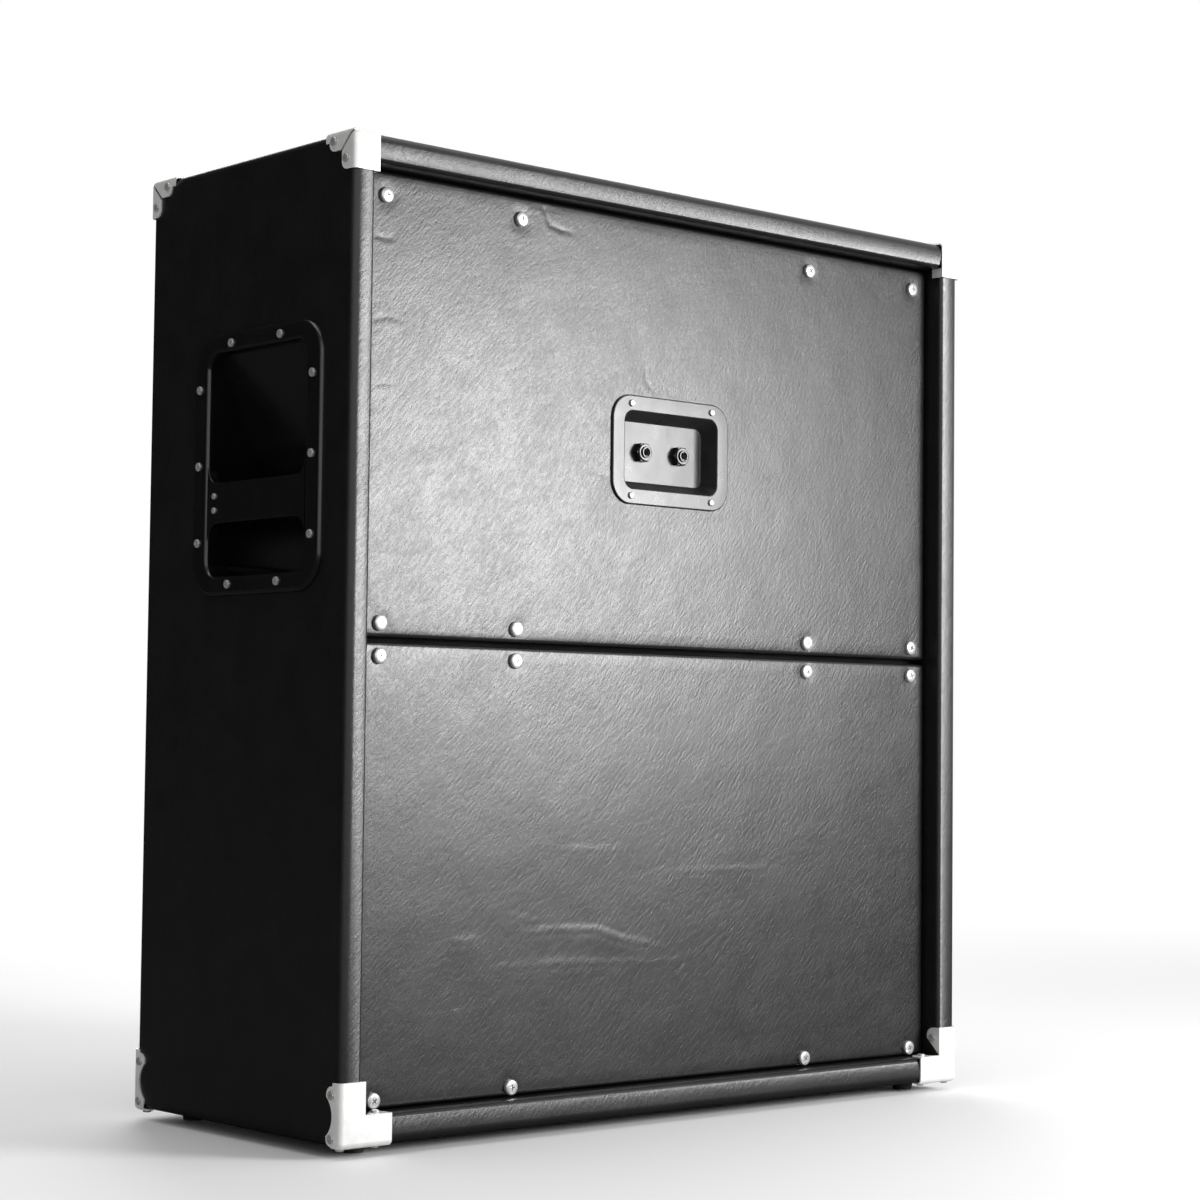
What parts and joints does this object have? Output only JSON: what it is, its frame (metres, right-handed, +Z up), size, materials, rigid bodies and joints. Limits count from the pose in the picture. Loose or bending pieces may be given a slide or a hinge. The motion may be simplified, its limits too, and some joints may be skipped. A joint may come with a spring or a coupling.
{
  "type": "guitar speaker cabinet",
  "caption": "Closed-back guitar speaker cabinet in black vinyl with recessed back panels, jack dish, side handles, metal corners and feet.",
  "frame": {"origin": "on the floor under the middle of the box", "axes": "+Z up, +Y to the back with the jacks, -Y to the front with the grille, +X to the right seen from the front"},
  "size_m": [0.6778, 0.2754, 0.7467],
  "materials": {
    "black_vinyl": "smooth leathercloth, fine grain, satin",
    "plywood": "bare plywood",
    "black_board": "board painted matt black",
    "grille_weave": "woven grille cloth",
    "bright_screw": "bright plated screws",
    "nickel_plate": "bright nickel plated sheet steel",
    "handle_plastic": "glossy moulded black",
    "dish_plastic": "satin moulded black",
    "jack_plastic": "moulded black",
    "foot_rubber": "matt black rubber",
    "basket_paint": "black paint on pressed steel",
    "plated_steel": "zinc plated steel",
    "ferrite": "sintered magnet",
    "cone_paper": "pressed paper pulp",
    "treated_cloth": "treated cloth",
    "spider_cloth": "resin treated cloth",
    "coil_brass": "wire on a former",
    "gasket_card": "card ring",
    "lead_cover": "insulated lead",
    "pad_felt": "hook and loop pad"
  },
  "bodies": {
    "cabinet": {"side_board_left": "plywood", "side_board_right": "plywood", "top_board": "plywood", "bottom_board": "plywood", "vinyl_covering": "black_vinyl", "baffle_board": "black_board", "baffle_cleats": "plywood", "back_cleats": "black_board", "upper_back_panel": "plywood", "lower_back_panel": "plywood", "upper_back_vinyl": "black_vinyl", "lower_back_vinyl": "black_vinyl", "back_panel_screws": "bright_screw", "grille_frame": "black_board", "grille_cloth": "grille_weave", "grille_pads": "pad_felt", "jack_dish": "dish_plastic", "jack_dish_screws": "bright_screw", "jack_left": "jack_plastic", "jack_right": "jack_plastic", "jack_nuts": "jack_plastic", "handle_cup_left": "handle_plastic", "handle_cup_right": "handle_plastic", "handle_bar_left": "handle_plastic", "handle_bar_right": "handle_plastic", "handle_screws": "bright_screw", "corner_screws": "bright_screw", "rubber_feet": "foot_rubber", "foot_screws": "bright_screw", "speaker_wires": "lead_cover", "driver_gaskets": "gasket_card", "driver_terminals": "coil_brass", "driver_bolts": "plated_steel", "top_corner_back_left": "nickel_plate", "top_corner_back_right": "nickel_plate", "top_corner_front_left": "nickel_plate", "top_corner_front_right": "nickel_plate", "bottom_corner_back_left": "nickel_plate", "bottom_corner_back_right": "nickel_plate", "bottom_corner_front_left": "nickel_plate", "bottom_corner_front_right": "nickel_plate", "upper_basket": "basket_paint", "upper_top_plate": "plated_steel", "upper_magnet": "ferrite", "upper_yoke": "plated_steel", "upper_surround": "treated_cloth", "upper_spider": "spider_cloth", "lower_basket": "basket_paint", "lower_top_plate": "plated_steel", "lower_magnet": "ferrite", "lower_yoke": "plated_steel", "lower_surround": "treated_cloth", "lower_spider": "spider_cloth"},
    "upper_cone_assembly": {"upper_cone": "cone_paper", "upper_dust_cap": "cone_paper", "upper_voice_coil": "coil_brass"},
    "lower_cone_assembly": {"lower_cone": "cone_paper", "lower_dust_cap": "cone_paper", "lower_voice_coil": "coil_brass"}
  },
  "joints": [
    {"name": "upper_cone_travel", "type": "slide", "parent": "cabinet", "child": "upper_cone_assembly", "axis": [0, -1, 0], "range_m": [-0.004, 0.004], "stiffness_N_per_m": 5000},
    {"name": "lower_cone_travel", "type": "slide", "parent": "cabinet", "child": "lower_cone_assembly", "axis": [0, -1, 0], "range_m": [-0.004, 0.004], "stiffness_N_per_m": 5000}
  ]
}
